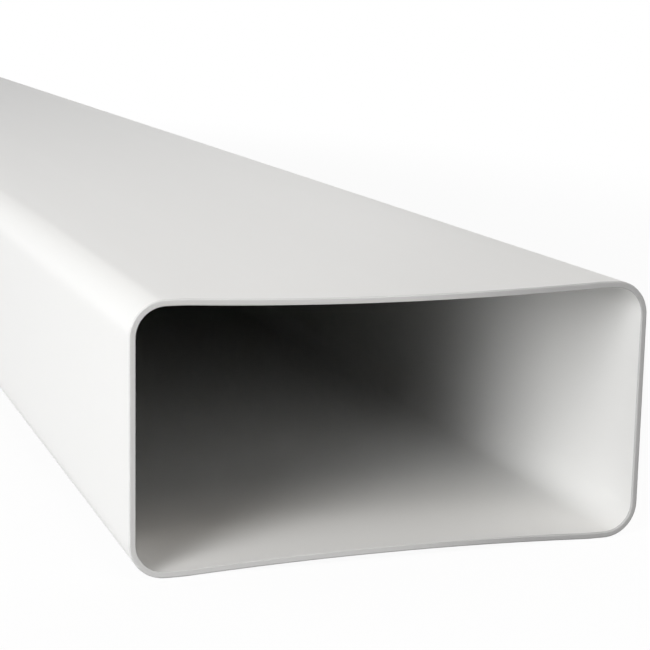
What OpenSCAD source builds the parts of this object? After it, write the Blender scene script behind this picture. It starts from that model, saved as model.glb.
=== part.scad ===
// Flat channel duct: one straight length of extruded PVC ventilation duct.
// It lies on a wide wall along Y, centred on the origin, with both ends sawn square and open.
// The four walls are one extrusion of even thickness. The wide walls sink a little towards
// each other along the middle, as the extrusion does when it cools, and the narrow walls stay flat.

/* [Section] */
// Width over the two narrow walls
duct_width = 110; // [90:1:220]
// Height over the rounded corners
duct_height = 55; // [45:1:90]
// Thickness of the wall
wall = 1.3; // [1:0.1:2.5]
// Outside radius of the corners
corner_radius = 7.3; // [4:0.1:12]
// Width of the flat strip beside each corner of a wide wall, on which the duct lies
strip = 4; // [1:0.5:8]
// How far the middle of each wide wall sinks in from its flat strips
dip = 1.1; // [0.2:0.1:2]

/* [Length] */
// Length between the sawn ends
duct_length = 1000; // [350:50:3000]

/* [Hidden] */
duct_colour = [0.9, 0.9, 0.89];
corner_facets = 96;
dip_facets = 1440;

// Half the run of a wide wall between its two flat strips
half_run = duct_width / 2 - corner_radius - strip;
// Outside radius of the long arc that sinks by the dip over that run
dip_radius = (half_run * half_run + dip * dip) / (2 * dip);

// Rectangle with round corners, centred on the origin
module round_rectangle(width, height, radius) {
    square([width - 2 * radius, height], center = true);
    square([width, height - 2 * radius], center = true);
    for (x = [-1, 1], y = [-1, 1])
        translate([x * (width / 2 - radius), y * (height / 2 - radius)])
            circle(r = radius, $fn = corner_facets);
}

// Area inside the line that runs round the section at the depth inset below the outer surface.
// A large disc above and another below hollow the two wide walls.
module section_area(inset) {
    difference() {
        round_rectangle(duct_width - 2 * inset, duct_height - 2 * inset, corner_radius - inset);
        for (side = [-1, 1])
            translate([0, side * (duct_height / 2 - dip + dip_radius)])
                circle(r = dip_radius + inset, $fn = dip_facets);
    }
}

// The extruded section: everything inside the outer line, less the air path
module duct_section() {
    difference() {
        section_area(0);
        section_area(wall);
    }
}

// The duct, drawn out along Y and set down on a wide wall
module duct() {
    color(duct_colour)
        translate([0, duct_length / 2, duct_height / 2])
            rotate([90, 0, 0])
                linear_extrude(height = duct_length)
                    duct_section();
}

duct();
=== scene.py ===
"""Flat channel duct: the finished look of one straight length of white PVC ventilation duct.

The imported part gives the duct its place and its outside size. Geometry Nodes draw the section again with
the same sizes as part.scad, sweep it along the duct and give it the thickness of the wall. The extruded
faces and the sawn ends each have their own finish. Everything is in metres, in the part's frame: the duct
runs along Y with its front end at the camera's side, and lies on Z = 0.
"""

import math

import bpy
from mathutils import Matrix, Vector


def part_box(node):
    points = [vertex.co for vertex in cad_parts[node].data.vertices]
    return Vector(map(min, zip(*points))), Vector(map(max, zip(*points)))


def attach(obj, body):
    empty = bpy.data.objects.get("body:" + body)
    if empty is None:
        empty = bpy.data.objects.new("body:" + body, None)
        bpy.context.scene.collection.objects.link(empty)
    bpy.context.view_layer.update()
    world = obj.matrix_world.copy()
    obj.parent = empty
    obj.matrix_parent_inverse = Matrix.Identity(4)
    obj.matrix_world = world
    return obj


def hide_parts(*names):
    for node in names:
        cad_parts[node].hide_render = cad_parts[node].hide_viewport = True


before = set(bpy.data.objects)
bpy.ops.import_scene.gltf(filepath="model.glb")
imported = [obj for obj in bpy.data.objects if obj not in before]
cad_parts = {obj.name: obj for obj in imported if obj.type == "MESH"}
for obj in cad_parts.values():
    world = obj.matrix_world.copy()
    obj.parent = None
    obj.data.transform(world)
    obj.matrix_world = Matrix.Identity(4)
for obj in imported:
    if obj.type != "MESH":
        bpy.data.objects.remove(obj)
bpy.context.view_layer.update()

MM = 0.001

# Sizes of the section, as in part.scad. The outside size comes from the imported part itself.
WALL = 1.3 * MM
CORNER_RADIUS = 7.3 * MM
STRIP = 4 * MM
DIP = 1.1 * MM

# How far the walls and the sawn ends stray from the ideal shape, and in how many waves to the metre along
# each axis
WALL_RIPPLE = 0.08 * MM
WALL_WAVES = (22.0, 3.5, 22.0)
SAW_WANDER = 0.12 * MM
SAW_WAVES = (45.0, 7.0, 45.0)
SEED = 3.0
SAW_SEED_STEP = 5.0

# Rounding of the edges of the cut. The inner one grows over a stretch of the way towards the lower right,
# where the blade came out.
OUTER_EDGE = 0.35 * MM
INNER_EDGE = 0.1 * MM
INNER_EDGE_AT_EXIT = 0.4 * MM
TOWARDS_EXIT = (1.0, 0.0, -0.6)
EXIT_NEAR = 10 * MM
EXIT_REACHED = 36 * MM

# The mesh: its steps round the section and along the duct, and what joins it and tells its edges apart
STEP_ROUND = 1.0 * MM
ROWS_ALONG = 51
CORNER_POINTS = 24
EDGE_SEGMENTS = 3
END_ROW_SHARE = 0.4999  # of the length, from its middle: only the two end rows lie further out
CUT_EDGE_BEND = 0.9  # in radians: only the edges of the cut bend further
CLOSING_REACH = 0.005 * MM  # points nearer together than this become one


# Short calls for building node trees


def add(tree, kind, label, inputs=None, **settings):
    """A new node with its settings, and with its inputs fed by sockets or set to values."""
    made = tree.nodes.new(kind)
    made.label = label
    for name, value in settings.items():
        setattr(made, name, value)
    for name, value in (inputs or {}).items():
        feed(tree, made.inputs[name], value)
    return made


def feed(tree, socket, value):
    """Joins an output socket to an input, or sets the input to a plain value."""
    if isinstance(value, bpy.types.NodeSocket):
        tree.links.new(value, socket)
    else:
        socket.default_value = value


def calculate(tree, operation, *values, label=""):
    """The result of one Math node."""
    made = tree.nodes.new("ShaderNodeMath")
    made.operation = operation
    made.label = label
    for socket, value in zip(made.inputs, values):
        feed(tree, socket, value)
    return made.outputs[0]


def stretch(tree, vector, scale):
    """A position with each of its axes scaled."""
    made = tree.nodes.new("ShaderNodeVectorMath")
    made.operation = "MULTIPLY"
    feed(tree, made.inputs[0], vector)
    feed(tree, made.inputs[1], scale)
    return made.outputs[0]


def open_sockets(tree, kind, *names, into="INPUT"):
    """Named sockets on the outside of a tree."""
    for name in names:
        tree.interface.new_socket(name=name, in_out=into, socket_type=kind)


# The shape of the duct


def section_curve(tree, sizes):
    """The middle line of the wall, drawn flat: a rectangle with round corners whose wide sides sink in."""
    half_wall = calculate(tree, "MULTIPLY", sizes["Wall"], 0.5)
    rectangle = add(
        tree,
        "GeometryNodeCurvePrimitiveQuadrilateral",
        "Middle of the wall, corners square",
        {
            "Width": calculate(tree, "SUBTRACT", sizes["Width"], sizes["Wall"]),
            "Height": calculate(tree, "SUBTRACT", sizes["Height"], sizes["Wall"]),
        },
        mode="RECTANGLE",
    )
    corners = add(
        tree,
        "GeometryNodeFilletCurve",
        "Round corners",
        {
            "Curve": rectangle.outputs["Curve"],
            "Radius": calculate(tree, "SUBTRACT", sizes["Corner radius"], half_wall),
            "Count": CORNER_POINTS,
        },
        mode="POLY",
    )
    even = add(
        tree,
        "GeometryNodeResampleCurve",
        "Even steps round the section",
        {"Curve": corners.outputs["Curve"], "Length": sizes["Step round"]},
        mode="LENGTH",
    )

    # Each wide wall follows a long arc whose centre lies outside the duct, between its two flat strips.
    half_width = calculate(tree, "MULTIPLY", sizes["Width"], 0.5)
    half_height = calculate(tree, "MULTIPLY", sizes["Height"], 0.5)
    corner_end = calculate(tree, "SUBTRACT", half_width, sizes["Corner radius"])
    half_run = calculate(tree, "SUBTRACT", corner_end, sizes["Strip"], label="Half run of the dip")
    run_squared = calculate(tree, "MULTIPLY", half_run, half_run)
    arc_over_dip = calculate(tree, "DIVIDE", run_squared, sizes["Dip"])
    doubled = calculate(tree, "ADD", arc_over_dip, sizes["Dip"])
    radius = calculate(tree, "MULTIPLY", doubled, 0.5, label="Radius of the long arc")
    flat_less_dip = calculate(tree, "SUBTRACT", half_height, sizes["Dip"])
    centre = calculate(tree, "ADD", flat_less_dip, radius, label="Height of the arc's centre")
    middle_radius = calculate(tree, "ADD", radius, half_wall)

    place = add(tree, "GeometryNodeInputPosition", "Place on the section")
    axes = add(tree, "ShaderNodeSeparateXYZ", "Across and up", {"Vector": place.outputs[0]})
    across, up = axes.outputs["X"], axes.outputs["Y"]
    reach_squared = calculate(
        tree,
        "SUBTRACT",
        calculate(tree, "MULTIPLY", middle_radius, middle_radius),
        calculate(tree, "MULTIPLY", across, across),
    )
    arc = calculate(tree, "SUBTRACT", centre, calculate(tree, "SQRT", reach_squared))
    lower = calculate(tree, "MINIMUM", calculate(tree, "ABSOLUTE", up), arc)
    sunken = add(
        tree,
        "ShaderNodeCombineXYZ",
        "Place on the sunken walls",
        {"X": across, "Y": calculate(tree, "MULTIPLY", lower, calculate(tree, "SIGN", up))},
    )
    shaped = add(
        tree,
        "GeometryNodeSetPosition",
        "Sink the wide walls",
        {"Geometry": even.outputs["Curve"], "Position": sunken.outputs[0]},
    )
    return shaped.outputs["Geometry"]


def swept_skin(tree, sizes, section):
    """The section swept along the duct as a skin without thickness, lying on Z = 0."""
    half_length = calculate(tree, "MULTIPLY", sizes["Length"], 0.5)
    level = calculate(tree, "MULTIPLY", sizes["Height"], 0.5)
    front = add(
        tree,
        "ShaderNodeCombineXYZ",
        "Front end",
        {"Y": calculate(tree, "MULTIPLY", half_length, -1.0), "Z": level},
    )
    rear = add(tree, "ShaderNodeCombineXYZ", "Rear end", {"Y": half_length, "Z": level})
    line = add(
        tree,
        "GeometryNodeCurvePrimitiveLine",
        "Middle line of the duct",
        {"Start": front.outputs[0], "End": rear.outputs[0]},
    )
    rows = add(
        tree,
        "GeometryNodeResampleCurve",
        "Rows along the duct",
        {"Curve": line.outputs["Curve"], "Count": sizes["Rows along"]},
        mode="COUNT",
    )
    sweep = add(
        tree,
        "GeometryNodeCurveToMesh",
        "Sweep the section",
        {"Curve": rows.outputs["Curve"], "Profile Curve": section},
    )
    return sweep.outputs["Mesh"]


def uneven_skin(tree, sizes, skin):
    """The skin with the faint ripple of the extruded walls, and with ends that wander as the saw did."""
    place = add(tree, "GeometryNodeInputPosition", "Place on the skin")
    normal = add(tree, "GeometryNodeInputNormal", "Way out of the skin")
    ripple = add(
        tree,
        "ShaderNodeTexNoise",
        "Ripple of the walls",
        {
            "Vector": stretch(tree, place.outputs[0], WALL_WAVES),
            "W": sizes["Seed"],
            "Scale": 1.0,
            "Detail": 1.0,
        },
        noise_dimensions="4D",
    )
    depth = calculate(tree, "MULTIPLY", ripple.outputs[0], sizes["Ripple"])
    inward = add(
        tree,
        "ShaderNodeVectorMath",
        "Inward by the ripple",
        {0: normal.outputs[0], "Scale": calculate(tree, "MULTIPLY", depth, -1.0)},
        operation="SCALE",
    )
    rippled = add(
        tree,
        "GeometryNodeSetPosition",
        "Ripple the walls",
        {"Geometry": skin, "Offset": inward.outputs[0]},
    )

    axes = add(tree, "ShaderNodeSeparateXYZ", "Along the duct", {"Vector": place.outputs[0]})
    along = axes.outputs["Y"]
    wander = add(
        tree,
        "ShaderNodeTexNoise",
        "Wander of the saw",
        {
            "Vector": stretch(tree, place.outputs[0], SAW_WAVES),
            "W": calculate(tree, "ADD", sizes["Seed"], SAW_SEED_STEP),
            "Scale": 1.0,
            "Detail": 1.0,
        },
        noise_dimensions="4D",
    )
    short = calculate(tree, "MULTIPLY", wander.outputs[0], sizes["Saw wander"])
    back = calculate(tree, "MULTIPLY", short, calculate(tree, "SIGN", along))
    step = add(
        tree,
        "ShaderNodeCombineXYZ",
        "Back from the ideal cut",
        {"Y": calculate(tree, "MULTIPLY", back, -1.0)},
    )
    last_row = calculate(tree, "MULTIPLY", sizes["Length"], END_ROW_SHARE)
    at_end = calculate(tree, "GREATER_THAN", calculate(tree, "ABSOLUTE", along), last_row)
    sawn = add(
        tree,
        "GeometryNodeSetPosition",
        "Saw the ends",
        {"Geometry": rippled.outputs[0], "Selection": at_end, "Offset": step.outputs[0]},
    )
    return sawn.outputs[0]


def thick_wall(tree, sizes, skin):
    """The skin given the thickness of the wall, half of it each way, and which of its faces are sawn.

    The edges of the cut are marked with how far each is rounded. The inner one is sharp where the saw went
    in, and rounder at the lower right, where it came out.
    """
    normal = add(tree, "GeometryNodeInputNormal", "Way out of the wall")
    outward = add(
        tree,
        "ShaderNodeVectorMath",
        "Half the wall outward",
        {0: normal.outputs[0], "Scale": calculate(tree, "MULTIPLY", sizes["Wall"], 0.5)},
        operation="SCALE",
    )
    outer = add(
        tree,
        "GeometryNodeSetPosition",
        "Outer face",
        {"Geometry": skin, "Offset": outward.outputs[0]},
    )
    inner = add(
        tree,
        "GeometryNodeExtrudeMesh",
        "Inner face and sawn ends",
        {
            "Mesh": outer.outputs[0],
            "Offset Scale": calculate(tree, "MULTIPLY", sizes["Wall"], -1.0),
            "Individual": False,
        },
        mode="FACES",
    )
    turned = add(tree, "GeometryNodeFlipFaces", "Turn inner face", {"Mesh": inner.outputs["Mesh"]})
    both = add(tree, "GeometryNodeJoinGeometry", "Both faces of the wall")
    tree.links.new(turned.outputs[0], both.inputs[0])
    tree.links.new(outer.outputs[0], both.inputs[0])
    closed = add(
        tree,
        "GeometryNodeMergeByDistance",
        "Close the wall",
        {"Geometry": both.outputs[0], "Distance": CLOSING_REACH},
    )

    bend = add(tree, "GeometryNodeInputMeshEdgeAngle", "Bend at each edge")
    cut = calculate(tree, "GREATER_THAN", bend.outputs["Unsigned Angle"], CUT_EDGE_BEND)
    place = add(tree, "GeometryNodeInputPosition", "Place on the wall")
    towards_exit = add(
        tree,
        "ShaderNodeVectorMath",
        "Towards the lower right",
        {0: place.outputs[0], 1: TOWARDS_EXIT},
        operation="DOT_PRODUCT",
    )
    inside = add(
        tree,
        "ShaderNodeMapRange",
        "Inner rounding, more towards the lower right",
        {
            "Value": towards_exit.outputs["Value"],
            "From Min": EXIT_NEAR,
            "From Max": EXIT_REACHED,
            "To Min": sizes["Inner rounding"],
            "To Max": sizes["Inner rounding, lower right"],
        },
        interpolation_type="SMOOTHSTEP",
    )
    lesser = calculate(tree, "SUBTRACT", inside.outputs["Result"], 1.0)
    share = calculate(tree, "MULTIPLY_ADD", inner.outputs["Top"], lesser, 1.0)
    marked = add(
        tree,
        "GeometryNodeStoreNamedAttribute",
        "Share of the rounding",
        {
            "Geometry": closed.outputs[0],
            "Name": "bevel_weight_edge",
            "Value": calculate(tree, "MULTIPLY", cut, share),
        },
        data_type="FLOAT",
        domain="EDGE",
    )
    return marked.outputs[0], inner.outputs["Side"]


def duct_tree():
    """The whole duct as one Geometry Nodes tree, with its sizes and finishes as named inputs."""
    tree = bpy.data.node_groups.new("Flat channel duct", "GeometryNodeTree")
    open_sockets(tree, "NodeSocketGeometry", "Geometry", into="OUTPUT")
    open_sockets(tree, "NodeSocketFloat", "Width", "Height", "Length")
    open_sockets(tree, "NodeSocketFloat", "Wall", "Corner radius", "Strip", "Dip")
    open_sockets(tree, "NodeSocketFloat", "Ripple", "Saw wander", "Step round", "Seed")
    open_sockets(tree, "NodeSocketFloat", "Inner rounding", "Inner rounding, lower right")
    open_sockets(tree, "NodeSocketInt", "Rows along")
    open_sockets(tree, "NodeSocketMaterial", "Extruded finish", "Sawn finish")
    sizes = add(tree, "NodeGroupInput", "Sizes and finishes").outputs

    section = section_curve(tree, sizes)
    skin = uneven_skin(tree, sizes, swept_skin(tree, sizes, section))
    wall, sawn_faces = thick_wall(tree, sizes, skin)
    smooth = add(tree, "GeometryNodeSetShadeSmooth", "Smooth faces", {"Geometry": wall})
    whole = add(
        tree,
        "GeometryNodeRealizeInstances",
        "Plain mesh",
        {"Geometry": smooth.outputs[0]},
    )
    extruded = add(
        tree,
        "GeometryNodeSetMaterial",
        "Extruded faces",
        {"Geometry": whole.outputs[0], "Material": sizes["Extruded finish"]},
    )
    sawn = add(
        tree,
        "GeometryNodeSetMaterial",
        "Sawn ends",
        {
            "Geometry": extruded.outputs[0],
            "Selection": sawn_faces,
            "Material": sizes["Sawn finish"],
        },
    )
    result = add(tree, "NodeGroupOutput", "Duct")
    tree.links.new(sawn.outputs[0], result.inputs[0])
    return tree


def make_duct(extruded, sawn):
    """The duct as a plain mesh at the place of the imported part."""
    low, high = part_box("duct")
    tree = duct_tree()
    holder = bpy.data.objects.new("duct_in_the_making", bpy.data.meshes.new("blank"))
    slots = (None, extruded, sawn)  # the sweep puts an empty slot before the two finishes
    for finish in slots:
        holder.data.materials.append(finish)
    bpy.context.scene.collection.objects.link(holder)
    draw = holder.modifiers.new("Flat channel duct", "NODES")
    draw.node_group = tree
    values = {
        "Width": high.x - low.x,
        "Height": high.z - low.z,
        "Length": high.y - low.y,
        "Wall": WALL,
        "Corner radius": CORNER_RADIUS,
        "Strip": STRIP,
        "Dip": DIP,
        "Ripple": WALL_RIPPLE,
        "Saw wander": SAW_WANDER,
        "Inner rounding": INNER_EDGE / OUTER_EDGE,
        "Inner rounding, lower right": INNER_EDGE_AT_EXIT / OUTER_EDGE,
        "Step round": STEP_ROUND,
        "Seed": SEED,
        "Rows along": ROWS_ALONG,
        "Extruded finish": extruded,
        "Sawn finish": sawn,
    }
    for socket in tree.interface.items_tree:
        if socket.name in values:
            draw[socket.identifier] = values[socket.name]
    edges = holder.modifiers.new("Softened edges of the cut", "BEVEL")
    edges.width = OUTER_EDGE
    edges.segments = EDGE_SEGMENTS
    edges.material = slots.index(sawn)
    edges.limit_method = "WEIGHT"
    edges.harden_normals = True

    graph = bpy.context.evaluated_depsgraph_get()
    finished = holder.evaluated_get(graph)
    mesh = bpy.data.meshes.new_from_object(
        finished,
        preserve_all_data_layers=True,
        depsgraph=graph,
    )
    bpy.data.objects.remove(holder)
    mesh.materials.pop(index=slots.index(None))
    mesh.name = "extruded_duct"
    duct = bpy.data.objects.new("extruded_duct", mesh)
    bpy.context.scene.collection.objects.link(duct)
    return duct


# The finishes

# Colours of the white PVC: its extruded skin, the cut, and the painted shade that darkens the cut towards
# the right
SKIN_LIGHT = (0.775, 0.775, 0.765, 1.0)
SKIN_DARK = (0.765, 0.765, 0.755, 1.0)
CUT_LIGHT = (0.7, 0.7, 0.695, 1.0)
CUT_DARK = (0.64, 0.64, 0.635, 1.0)
# Painted shade: the colour the cut is darkened to at its right, where less light falls
CUT_PAINTED_SHADE = (0.47, 0.47, 0.47, 1.0)

# Marks that the die draws: fine lines to the metre, broad streaks as a share of them, and how far both are
# drawn out along the duct
DIE_LINES = 900.0
BROAD_SHARE = 0.12
BROAD_STREAK = (1.0, 0.012, 1.0)
FINE_STREAK = (1.0, 0.006, 1.0)
BROAD_TONE = 0.6

# Clouds in the white, and the grain of the skin, as their number to the metre and their depth
CLOUDS = 9.0
CLOUD_TONE = 0.55
SKIN_GRAIN = 2600.0
SKIN_DEPTH = 0.05 * MM

# The saw marks are arcs round the blade's shaft, flat on the cut. Towards the right the cut is painted
# darker, as painted shade.
SAW_MARKS = 2400.0
SAW_MARK_DEPTH = 0.03 * MM
BLADE_SHAFT = (0.035, 0.0, -0.32)
FLAT_ON_CUT = (1.0, 0.0, 1.0)
PAINTED_SHADE_FROM = -5 * MM
PAINTED_SHADE_TO = 35 * MM


def new_material(name):
    """A material with one Principled BSDF, and its tree."""
    made = bpy.data.materials.new(name)
    made.use_nodes = True
    shader = made.node_tree.nodes["Principled BSDF"]
    return made, made.node_tree, shader


def die_line_group():
    """Fine lines that the die draws along the extrusion: streaks of tone, gloss and relief."""
    tree = bpy.data.node_groups.new("Die lines", "ShaderNodeTree")
    open_sockets(tree, "NodeSocketVector", "Position")
    open_sockets(tree, "NodeSocketFloat", "Lines to the metre")
    open_sockets(tree, "NodeSocketFloat", "Tone", "Relief", into="OUTPUT")
    given = add(tree, "NodeGroupInput", "Given").outputs
    broad = add(
        tree,
        "ShaderNodeTexNoise",
        "Broad streaks",
        {
            "Vector": stretch(tree, given["Position"], BROAD_STREAK),
            "Scale": calculate(tree, "MULTIPLY", given["Lines to the metre"], BROAD_SHARE),
            "Detail": 2.0,
        },
    )
    fine = add(
        tree,
        "ShaderNodeTexNoise",
        "Fine lines",
        {
            "Vector": stretch(tree, given["Position"], FINE_STREAK),
            "Scale": given["Lines to the metre"],
            "Detail": 2.0,
        },
    )
    share = calculate(tree, "MULTIPLY", fine.outputs[0], 1.0 - BROAD_TONE)
    tone = calculate(tree, "MULTIPLY_ADD", broad.outputs[0], BROAD_TONE, share)
    result = add(tree, "NodeGroupOutput", "Lines")
    tree.links.new(tone, result.inputs["Tone"])
    tree.links.new(fine.outputs[0], result.inputs["Relief"])
    return tree


def mottle_group():
    """Slight unevenness of the white from one hand's breadth to the next."""
    tree = bpy.data.node_groups.new("Mottle of the white", "ShaderNodeTree")
    open_sockets(tree, "NodeSocketVector", "Position")
    open_sockets(tree, "NodeSocketColor", "Light", "Dark")
    open_sockets(tree, "NodeSocketFloat", "Streaks")
    open_sockets(tree, "NodeSocketColor", "Colour", into="OUTPUT")
    given = add(tree, "NodeGroupInput", "Given").outputs
    cloud = add(
        tree,
        "ShaderNodeTexNoise",
        "Clouds",
        {"Vector": given["Position"], "Scale": CLOUDS, "Detail": 3.0, "Roughness": 0.55},
    )
    share = calculate(tree, "MULTIPLY", given["Streaks"], 1.0 - CLOUD_TONE)
    amount = calculate(tree, "MULTIPLY_ADD", cloud.outputs[0], CLOUD_TONE, share)
    colour = add(
        tree,
        "ShaderNodeMix",
        "Light to dark",
        {"Factor": amount, "A": given["Light"], "B": given["Dark"]},
        data_type="RGBA",
    )
    result = add(tree, "NodeGroupOutput", "White")
    tree.links.new(colour.outputs["Result"], result.inputs["Colour"])
    return tree


def place_group(tree, group, label, inputs):
    """One of the shared effects, set in a material."""
    made = tree.nodes.new("ShaderNodeGroup")
    made.node_tree = group
    made.label = label
    for name, value in inputs.items():
        feed(tree, made.inputs[name], value)
    return made.outputs


def extruded_pvc(die_lines, mottle):
    """Satin white PVC as it leaves the die."""
    material, tree, shader = new_material("White PVC, extruded")
    place = add(tree, "ShaderNodeTexCoord", "Place on the duct").outputs["Object"]
    lines = place_group(
        tree,
        die_lines,
        "Die lines along the duct",
        {"Position": place, "Lines to the metre": DIE_LINES},
    )
    white = place_group(
        tree,
        mottle,
        "White of the extrusion",
        {
            "Position": place,
            "Light": SKIN_LIGHT,
            "Dark": SKIN_DARK,
            "Streaks": lines["Tone"],
        },
    )
    gloss = add(
        tree,
        "ShaderNodeMapRange",
        "Satin, duller in the streaks",
        {"Value": lines["Tone"], "From Min": 0.3, "From Max": 0.7, "To Min": 0.38, "To Max": 0.41},
    )
    peel = add(
        tree,
        "ShaderNodeTexNoise",
        "Skin of the plastic",
        {"Vector": place, "Scale": SKIN_GRAIN, "Detail": 2.0},
    )
    height = calculate(tree, "MULTIPLY_ADD", peel.outputs[0], 0.5, lines["Relief"])
    bump = add(
        tree,
        "ShaderNodeBump",
        "Faint relief",
        {"Strength": 0.012, "Distance": SKIN_DEPTH, "Height": height},
    )
    feed(tree, shader.inputs["Base Color"], white["Colour"])
    feed(tree, shader.inputs["Roughness"], gloss.outputs["Result"])
    feed(tree, shader.inputs["Normal"], bump.outputs["Normal"])
    feed(tree, shader.inputs["Specular IOR Level"], 0.2)
    return material


def sawn_pvc(mottle):
    """Dull white PVC where the saw cut it, with the fine arcs of the blade, and painted shade that darkens
    it towards the right.
    """
    material, tree, shader = new_material("White PVC, sawn")
    place = add(tree, "ShaderNodeTexCoord", "Place on the duct").outputs["Object"]
    from_blade = add(
        tree,
        "ShaderNodeVectorMath",
        "Distance from the blade's shaft",
        {0: stretch(tree, place, FLAT_ON_CUT), 1: BLADE_SHAFT},
        operation="DISTANCE",
    )
    arcs = add(
        tree,
        "ShaderNodeTexNoise",
        "Arcs of the blade",
        {"W": from_blade.outputs["Value"], "Scale": SAW_MARKS, "Detail": 3.0, "Roughness": 0.6},
        noise_dimensions="1D",
    )
    white = place_group(
        tree,
        mottle,
        "White of the cut",
        {
            "Position": place,
            "Light": CUT_LIGHT,
            "Dark": CUT_DARK,
            "Streaks": arcs.outputs[0],
        },
    )
    across = add(tree, "ShaderNodeSeparateXYZ", "Across the duct", {"Vector": place})
    towards_right = add(
        # Painted shade: the cut is mixed towards a darker colour across to the right, standing in for light
        # that falls off
        tree,
        "ShaderNodeMapRange",
        "Painted shade towards the right",
        {"Value": across.outputs["X"], "From Min": PAINTED_SHADE_FROM, "From Max": PAINTED_SHADE_TO},
        interpolation_type="SMOOTHSTEP",
    )
    cut = add(
        tree,
        "ShaderNodeMix",
        "White to painted shade",
        {"Factor": towards_right.outputs["Result"], "A": white["Colour"], "B": CUT_PAINTED_SHADE},
        data_type="RGBA",
    )
    bump = add(
        tree,
        "ShaderNodeBump",
        "Saw marks",
        {"Strength": 0.35, "Distance": SAW_MARK_DEPTH, "Height": arcs.outputs[0]},
    )
    feed(tree, shader.inputs["Base Color"], cut.outputs["Result"])
    feed(tree, shader.inputs["Normal"], bump.outputs["Normal"])
    feed(tree, shader.inputs["Roughness"], 0.55)
    feed(tree, shader.inputs["Specular IOR Level"], 0.3)
    return material


# The studio

# The floor: half its width, how white it looks, and how grey it is for the light that it throws on the duct
FLOOR_REACH = 30.0
FLOOR_SEEN = 0.95
FLOOR_THROWN = 0.2

# Plain white covers the floor. Near the duct it covers this share, so that the shadow shows, and all of it
# further out. Distance along the duct counts for less than distance across it.
COVER_NEAR = 0.92
COVER_GROWS = 0.2
COVER_WHOLE = 0.5
DISTANCE_SHARES = (1.0, 0.6, 0.0)

# The lamps: the places along the duct that they face, the height there, their room above the floor, and the
# colours of their light
FRONT = -0.35
REAR = 0.25
REAR_END = 0.45
FACED_HEIGHT = 0.03
ROOM_BELOW = 0.01
PLAIN = (1.0, 1.0, 1.0)
WARM = (1.0, 0.92, 0.84)

# The camera of the photograph, with its turns in degrees and its lens in millimetres
CAMERA_PLACE = (-0.13017, -0.82024, 0.11324)
CAMERA_RIGHT = 19.616
CAMERA_DOWN = 10.755
CAMERA_LEAN = 1.150
CAMERA_LENS = 98.60
CAMERA_SENSOR = 36.0


def seen_directly(tree):
    """1 for what the camera sees itself or in a gloss or a glass, and 0 for the light on other surfaces."""
    path = add(tree, "ShaderNodeLightPath", "Kind of ray").outputs
    gloss = calculate(tree, "MAXIMUM", path["Is Camera Ray"], path["Is Glossy Ray"])
    return calculate(tree, "MAXIMUM", gloss, path["Is Transmission Ray"])


def make_floor():
    """A plain white floor that shows the soft shadow round the duct, and is plain white further out."""
    mesh = bpy.data.meshes.new("floor")
    corners = [(x * FLOOR_REACH, y * FLOOR_REACH, 0) for x, y in ((-1, -1), (1, -1), (1, 1), (-1, 1))]
    mesh.from_pydata(corners, [], [(0, 1, 2, 3)])
    floor = bpy.data.objects.new("floor", mesh)
    bpy.context.scene.collection.objects.link(floor)

    material = bpy.data.materials.new("White floor")
    material.use_nodes = True
    tree = material.node_tree
    tree.nodes.clear()
    place = add(tree, "ShaderNodeTexCoord", "Place on the floor").outputs["Object"]
    away = add(
        tree,
        "ShaderNodeVectorMath",
        "Distance from the duct, less along it",
        {0: stretch(tree, place, DISTANCE_SHARES)},
        operation="LENGTH",
    )
    whiteness = add(
        tree,
        "ShaderNodeMapRange",
        "Shadow near the duct, none further out",
        {
            "Value": away.outputs["Value"],
            "From Min": COVER_GROWS,
            "From Max": COVER_WHOLE,
            "To Min": COVER_NEAR,
            "To Max": 1.0,
        },
        interpolation_type="SMOOTHSTEP",
    )
    seen = seen_directly(tree)
    share = calculate(tree, "MULTIPLY", seen, whiteness.outputs["Result"])
    grey = calculate(tree, "MULTIPLY_ADD", seen, FLOOR_SEEN - FLOOR_THROWN, FLOOR_THROWN)
    paint = add(tree, "ShaderNodeBsdfDiffuse", "White to the eye, grey to the duct", {"Color": grey})
    white = add(tree, "ShaderNodeEmission", "Plain white", {"Strength": 1.0})
    mix = add(tree, "ShaderNodeMixShader", "Shadow stays", {"Fac": share})
    tree.links.new(paint.outputs[0], mix.inputs[1])
    tree.links.new(white.outputs[0], mix.inputs[2])
    result = add(tree, "ShaderNodeOutputMaterial", "Floor")
    tree.links.new(mix.outputs[0], result.inputs["Surface"])
    mesh.materials.append(material)


def make_world():
    """A surround that is white where it is seen, and leaves the lighting to the lamps."""
    world = bpy.data.worlds.new("Studio surround")
    bpy.context.scene.world = world
    world.use_nodes = True
    tree = world.node_tree
    tree.nodes.clear()
    light = add(tree, "ShaderNodeBackground", "Surround", {"Strength": seen_directly(tree)})
    result = add(tree, "ShaderNodeOutputWorld", "World")
    tree.links.new(light.outputs[0], result.inputs["Surface"])


def make_light(name, left, up, distance, width, tall, watts, along=FRONT, colour=PLAIN):
    """A soft box that faces a place along the duct, from so many degrees left of its front and above it."""
    lamp = bpy.data.lights.new(name, "AREA")
    lamp.shape = "RECTANGLE"
    lamp.size = width
    lamp.size_y = tall
    lamp.energy = watts
    lamp.color = colour
    light = bpy.data.objects.new(name, lamp)
    turn, rise = math.radians(left), math.radians(up)
    towards = Vector((-math.sin(turn) * math.cos(rise), -math.cos(turn) * math.cos(rise), math.sin(rise)))
    aim = Vector((0.0, along, FACED_HEIGHT))
    place = aim + towards * distance
    place.z = max(place.z, tall / 2 * math.cos(rise) + ROOM_BELOW)
    light.location = place
    light.rotation_euler = (aim - place).to_track_quat("-Z", "Y").to_euler()
    light.visible_camera = False
    bpy.context.scene.collection.objects.link(light)


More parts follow.
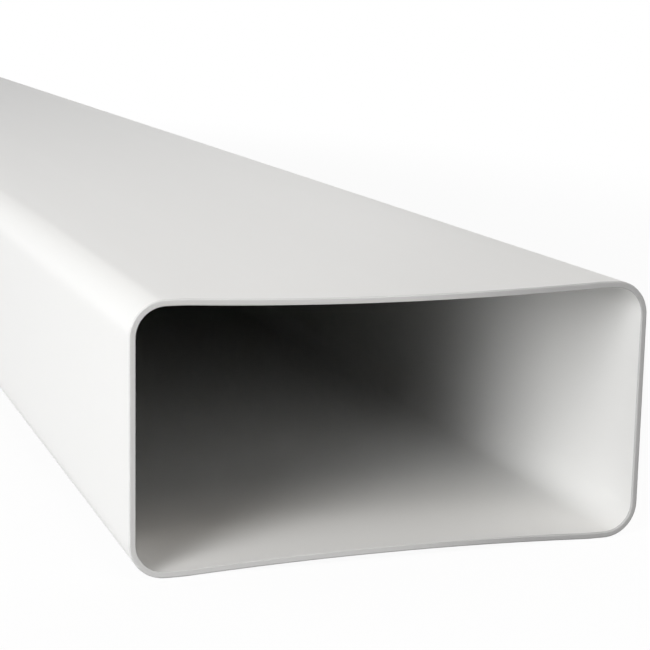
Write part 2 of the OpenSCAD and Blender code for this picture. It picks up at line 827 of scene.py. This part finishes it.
def light_studio():
    """Most of the light comes from the left, some from above, and enough from the right and the rear."""
    make_light("key", left=50, up=28, distance=1.4, width=0.5, tall=1.4, watts=6.7)
    make_light("key_right", left=46, up=12, distance=1.4, width=0.5, tall=0.9, watts=3.78)
    make_light("key_left", left=58, up=12, distance=1.4, width=0.5, tall=0.9, watts=6.5)
    make_light("key_low", left=54, up=5, distance=1.4, width=0.5, tall=0.4, watts=4.15)
    make_light("left_near", left=90, up=35, distance=0.33, width=0.14, tall=0.14, watts=0.057)
    make_light("front_top", left=-15, up=50, distance=1.3, width=0.6, tall=0.6, watts=2.42, colour=WARM)
    make_light("right_top", left=-30, up=62, distance=1.3, width=0.6, tall=0.6, watts=3.2)
    make_light("right_low", left=-105, up=5, distance=2.5, width=1.0, tall=0.4, watts=44.0)
    make_light("right_high", left=-90, up=60, distance=1.3, width=0.6, tall=0.6, watts=1.95, along=REAR)
    make_light("left_rear", left=115, up=8, distance=1.5, width=0.8, tall=0.4, watts=9.8, along=REAR)
    make_light("rear", left=-160, up=30, distance=1.3, width=0.8, tall=0.5, watts=1.25, along=REAR_END)


def make_camera():
    """The camera of the photograph: low, left of the duct's front end, and turned a little."""
    lens = bpy.data.cameras.new("camera")
    lens.sensor_width = CAMERA_SENSOR
    lens.lens = CAMERA_LENS
    lens.clip_start = 0.01
    lens.clip_end = 100.0
    camera = bpy.data.objects.new("camera", lens)
    heading = Matrix.Rotation(math.radians(-CAMERA_RIGHT), 4, "Z")
    tilt = Matrix.Rotation(math.radians(90.0 - CAMERA_DOWN), 4, "X")
    lean = Matrix.Rotation(math.radians(CAMERA_LEAN), 4, "Z")
    camera.matrix_world = Matrix.Translation(CAMERA_PLACE) @ heading @ tilt @ lean
    bpy.context.scene.collection.objects.link(camera)
    bpy.context.scene.camera = camera


die_lines = die_line_group()
mottle = mottle_group()
duct = make_duct(extruded_pvc(die_lines, mottle), sawn_pvc(mottle))
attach(duct, "root")
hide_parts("duct")

make_floor()
make_world()
light_studio()
make_camera()
bpy.context.scene.view_settings.view_transform = "Standard"
